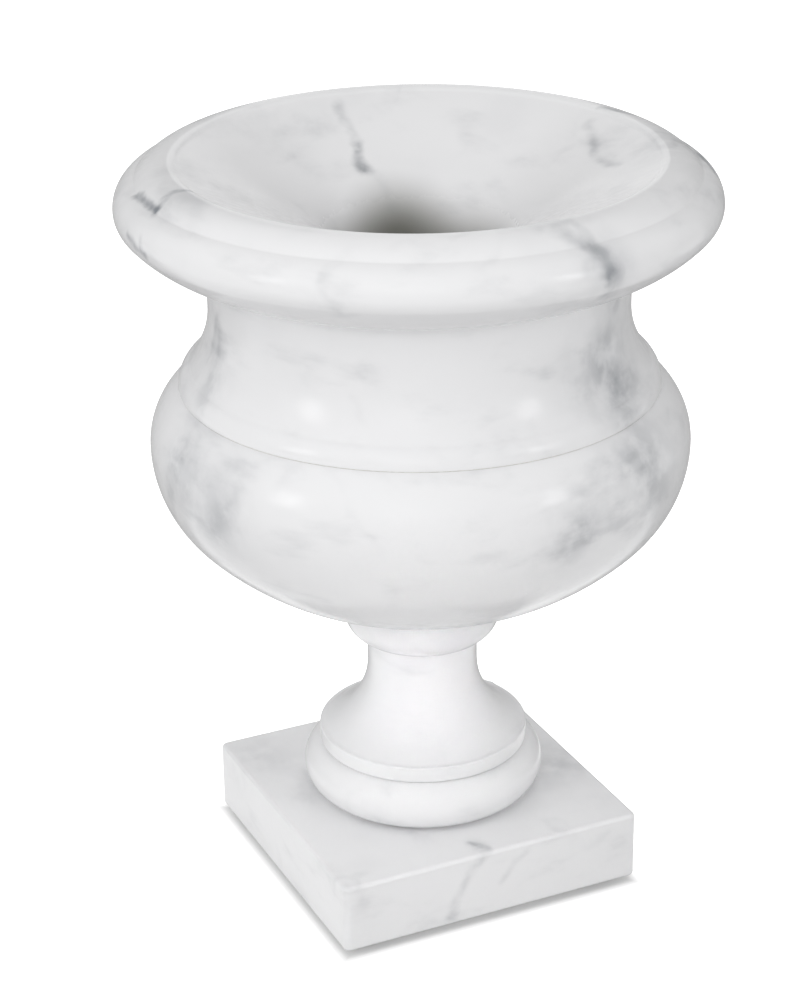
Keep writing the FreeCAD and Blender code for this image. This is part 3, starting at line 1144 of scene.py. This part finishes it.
@dataclass
class TieRod:
    """Threaded rod down the axis of the urn, with its thread cut in the mesh."""

    radius: float = 4.0
    pitch: float = 1.25
    thread_depth: float = 0.6
    tip: float = 0.8
    points: int = 48
    steps_per_pitch: int = 8

    def radius_at(self, climb: float, from_end: float) -> float:
        """Work out the rod's radius at one point of its thread.

        Args:
            climb: turns of the thread that lie below the point.
            from_end: distance to the nearer end of the rod.

        Returns:
            The radius, with the thread's flanks and the chamfer of the tip.
        """
        flank = abs((climb % 1.0) * 2 - 1)
        threaded = self.radius - self.thread_depth * flank
        return min(threaded, self.radius - self.tip + from_end)

    def build(self, finish: Material) -> None:
        """Cut the thread and plate the rod.

        Args:
            finish: the plating.
        """
        low, high = (corner.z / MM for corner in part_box("tie_rod"))
        count = math.ceil((high - low) / self.pitch * self.steps_per_pitch)
        rings: list[list[Vector]] = []
        for step in range(count + 1):
            level = low + (high - low) * step / count
            from_end = min(level - low, high - level)
            places: list[Vector] = []
            for index in range(self.points):
                angle = index / self.points * math.tau
                radius = self.radius_at((level - low) / self.pitch - index / self.points, from_end)
                place = Vector((radius * math.cos(angle), radius * math.sin(angle), level))
                places.append(place * MM)
            rings.append(places)
        dress(skin("threaded_rod", rings, closed=False), finish, "tie_rod")


@dataclass
class Fittings:
    """Resin beds, fixings and rubber feet that keep their CAD shapes."""

    beds: tuple[str, ...] = ("foot_bed", "collar_bed", "bowl_bed", "neck_bed")
    steel: tuple[str, ...] = ("lower_washer", "lower_nut", "upper_washer", "upper_nut")
    cushions: tuple[str, ...] = ("lower_cushion", "upper_cushion")
    feet: tuple[str, ...] = ("pad_front_left", "pad_front_right", "pad_back_left", "pad_back_right")

    def build(self, steel: Material) -> None:
        """Finish each fitting.

        Args:
            steel: the plating of the nuts and washers.
        """
        finishes = (
            (self.beds, PolyesterResin().build()),
            (self.steel, steel),
            (self.cushions, BlackRubber("nitrile_rubber_cushion").build()),
            (self.feet, BlackRubber("nitrile_rubber_foot").build()),
        )
        for nodes, finish in finishes:
            for node in nodes:
                dress_node(node, finish)


# ---- Studio


@dataclass(frozen=True)
class Lamp:
    """One soft box, turned round the urn from the camera's direction.

    Angles are in degrees, its sizes and distance in metres and its power in watts. It is
    aimed at a height on the urn's axis, in millimetres.
    """

    name: str
    azimuth: float
    elevation: float
    width: float
    height: float
    power: float
    distance: float = 1.2
    aim: float = 180.0
    beam: float = 180.0
    mirrored: bool = True


@dataclass(frozen=True)
class Flag:
    """One grey card behind the urn, seen in its polished edges only.

    It reaches from near and foot to far and top, which are distances from the urn's axis
    and heights in metres, so it stands upright where near and far are the same.
    """

    name: str
    azimuth: float
    width: float = 0.84
    near: float = 0.9
    far: float = 0.9
    foot: float = 0.0
    top: float = 1.2


@dataclass
class Studio:
    """Pale floor, soft boxes, flags, world and camera."""

    flags: tuple[Flag, ...] = (
        Flag("left_flag", -146.0),
        Flag("right_flag", 146.0),
        Flag("floor_flag", 180.0, 1.5, near=0.12, far=0.9, foot=0.001, top=0.001),
    )
    flag_colour: str = "#B8B8B8"
    flag_roughness: float = 0.9
    lamps: tuple[Lamp, ...] = (
        Lamp("left_box", -55.0, 20.0, 0.22, 0.36, 1.25),
        Lamp("right_box", 55.0, 20.0, 0.22, 0.36, 1.25),
        Lamp("high_fill", -25.0, 50.0, 1.6, 1.6, 7.0, 1.8, mirrored=False),
        Lamp("low_fill", -5.0, 20.0, 0.8, 0.8, 6.2, 1.8, mirrored=False),
        Lamp("foot_fill", 0.0, 32.0, 0.12, 0.12, 0.0040, 1.2, aim=10.0, beam=7.5, mirrored=False),
        Lamp("collar_fill", 0.0, 8.0, 0.08, 0.08, 0.0055, 1.2, aim=108.0, beam=5.0, mirrored=False),
        Lamp("left_fill", -112.0, 15.0, 1.2, 1.2, 2.6, 1.8, mirrored=False),
        Lamp("right_fill", 112.0, 15.0, 1.2, 1.2, 1.6, 1.8, mirrored=False),
        Lamp("back_fill", 180.0, 15.0, 1.6, 1.6, 5.0, 1.8, mirrored=False),
    )
    camera_place: Triple = (-432.6, -911.3, 618.1)
    camera_turn: Triple = (65.6785, 0.6325, -25.1924)
    lens: float = 96.752
    film: float = 36.0
    floor_radius: float = 3000.0
    ambient: float = 0.5
    floor_colour: str = "#CCCCCC"
    floor_lift: float = 0.2
    lift_from: float = 64.0
    lift_to: float = 74.0
    paper_grain: float = 6.0
    paper_roughness: Point = (0.85, 0.95)
    near_clip: float = 0.01

    def build(self) -> None:
        """Set up everything that isn't part of the urn."""
        self.make_camera()
        self.make_floor()
        self.make_world()
        for lamp in self.lamps:
            self.make_lamp(lamp)
        card, tree = new_material("grey_card")
        looks = {"Base Color": linear(self.flag_colour), "Roughness": self.flag_roughness}
        paint = add_node(tree, "BsdfPrincipled", looks)
        add_node(tree, "OutputMaterial", {"Surface": paint.outputs[0]})
        for flag in self.flags:
            self.make_flag(flag, card)

    def make_camera(self) -> None:
        """Place the camera where the photograph was taken from."""
        data = bpy.data.cameras.new("camera")
        data.sensor_fit = "VERTICAL"
        data.sensor_width = self.film
        data.sensor_height = self.film
        data.lens = self.lens
        data.clip_start = self.near_clip
        camera = bpy.data.objects.new("camera", data)
        camera.location = Vector(self.camera_place) * MM
        camera.rotation_euler = [math.radians(angle) for angle in self.camera_turn]
        bpy.context.scene.collection.objects.link(camera)
        bpy.context.scene.camera = camera

    def turn_from_camera(self, azimuth: float) -> float:
        """Turn an angle from the camera's direction into one from -Y, in radians."""
        return math.atan2(self.camera_place[0], -self.camera_place[1]) + math.radians(azimuth)

    def make_flag(self, flag: Flag, card: Material) -> None:
        """Place one flag, facing the urn.

        Args:
            flag: its size and place.
            card: its material.
        """
        azimuth = self.turn_from_camera(flag.azimuth)
        out = Vector((math.sin(azimuth), -math.cos(azimuth), 0))
        side = Vector((math.cos(azimuth), math.sin(azimuth), 0)) * flag.width / 2
        foot = out * flag.near + Vector((0, 0, flag.foot))
        top = out * flag.far + Vector((0, 0, flag.top))
        mesh = bmesh.new()
        places = (foot - side, foot + side, top + side, top - side)
        mesh.faces.new([mesh.verts.new(place) for place in places])
        piece = finished(flag.name, mesh)
        piece.data.materials.append(card)
        piece.visible_camera = False
        piece.visible_diffuse = False
        piece.visible_shadow = False

    def make_lamp(self, lamp: Lamp) -> None:
        """Hang one soft box, aimed at a height on the urn's axis.

        Args:
            lamp: its size, place and power.
        """
        azimuth = self.turn_from_camera(lamp.azimuth)
        elevation = math.radians(lamp.elevation)
        aim = Vector((0, 0, lamp.aim * MM))
        out = Vector((
            math.sin(azimuth) * math.cos(elevation),
            -math.cos(azimuth) * math.cos(elevation),
            math.sin(elevation),
        ))
        data = bpy.data.lights.new(lamp.name, "AREA")
        data.shape = "RECTANGLE"
        data.size = lamp.width
        data.size_y = lamp.height
        data.energy = lamp.power
        data.spread = math.radians(lamp.beam)
        light = bpy.data.objects.new(lamp.name, data)
        light.location = aim + out * lamp.distance
        light.rotation_euler = (-out).to_track_quat("-Z", "Y").to_euler()
        light.visible_camera = False
        light.visible_glossy = lamp.mirrored
        bpy.context.scene.collection.objects.link(light)

    @staticmethod
    def seen_white(tree: Tree) -> Socket:
        """Tell rays that show the background, straight or in a reflection, from those that light.

        Args:
            tree: the tree that the nodes go in.

        Returns:
            1 on the rays that show it, and 0 on the others.
        """
        rays = add_node(tree, "LightPath", {}).outputs
        seen = rays["Is Camera Ray"]
        for name in ("Is Glossy Ray", "Is Transmission Ray"):
            seen = add_node(tree, "Math", {0: seen, 1: rays[name]}, operation="MAXIMUM").outputs[0]
        return seen

    def make_floor(self) -> None:
        """Lay the pale floor, which fades to white away from the urn but keeps its shadow."""
        mesh = bmesh.new()
        bmesh.ops.create_circle(mesh, cap_ends=True, segments=RING_POINTS, radius=self.floor_radius * MM)
        floor = finished("floor", mesh)
        material, tree = new_material("matt_white_paper")
        place = place_in_mm(tree)
        outward = add_node(tree, "VectorMath", {0: place}, operation="ABSOLUTE").outputs[0]
        along = add_node(tree, "SeparateXYZ", {0: outward}).outputs
        reach = add_node(tree, "Math", {0: along[0], 1: along[1]}, operation="MAXIMUM").outputs[0]
        edges = {"From Min": self.lift_from, "From Max": self.lift_to}
        fade = {"Value": reach, **edges, "To Min": self.floor_lift}
        lift = add_node(tree, "MapRange", fade, **SMOOTH).outputs[0]
        white = self.seen_white(tree)
        strength = add_node(tree, "Math", {0: lift, 1: white}, operation="MULTIPLY").outputs[0]
        _, roughness = mottled(tree, place, self.paper_grain, 2.0, ((0.3, 0.7), self.paper_roughness))
        paper = add_node(tree, "BsdfPrincipled", {
            "Base Color": linear(self.floor_colour),
            "Roughness": roughness,
            "Emission Color": (1.0, 1.0, 1.0, 1.0),
            "Emission Strength": strength,
        })
        add_node(tree, "OutputMaterial", {"Surface": paper.outputs[0]})
        floor.data.materials.append(material)

    def make_world(self) -> None:
        """Light the room softly from all sides, and show it white."""
        world = bpy.data.worlds.new("studio")
        world.use_nodes = True
        tree = world.node_tree
        tree.nodes.clear()
        fade = {"Value": self.seen_white(tree), "To Min": self.ambient}
        strength = add_node(tree, "MapRange", fade, **SMOOTH).outputs[0]
        background = add_node(tree, "Background", {"Color": (1.0, 1.0, 1.0, 1.0), "Strength": strength})
        add_node(tree, "OutputWorld", {"Surface": background.outputs[0]})
        bpy.context.scene.world = world
        bpy.context.scene.view_settings.view_transform = "Standard"


@dataclass
class Urn:
    """The whole urn: five stones, what holds them together and what they stand on."""

    plinth: Plinth = field(default_factory=Plinth)
    foot: Foot = field(default_factory=Foot)
    collar: Collar = field(default_factory=Collar)
    bowl: Bowl = field(default_factory=Bowl)
    neck_rim: NeckRim = field(default_factory=NeckRim)
    rod: TieRod = field(default_factory=TieRod)
    fittings: Fittings = field(default_factory=Fittings)

    def build(self) -> None:
        """Build and finish every piece."""
        steel = ZincPlatedSteel().build()
        self.plinth.build(
            PolishedMarble("polished_marble_plinth", (310.0, 40.0, 90.0), PLINTH_VEINS, PLINTH_CLOUDS_AND_SHADOWS)
        )
        self.foot.build(PolishedMarble("polished_marble_foot", (20.0, 500.0, 0.0)))
        self.collar.build(PolishedMarble("polished_marble_collar", (700.0, 20.0, 330.0)))
        self.bowl.build(
            PolishedMarble("polished_marble_bowl", (0.0, 0.0, 0.0), BOWL_VEINS, BOWL_CLOUDS, Throat())
        )
        self.neck_rim.build(
            PolishedMarble("polished_marble_neck_rim", (90.0, 210.0, 60.0), RIM_VEINS, RIM_CLOUDS, Throat())
        )
        self.rod.build(steel)
        self.fittings.build(steel)


def main() -> None:
    """Build the studio and the urn."""
    logging.basicConfig(level=logging.INFO, format="%(message)s")
    Studio().build()
    Urn().build()


if __name__ == "__main__":
    main()
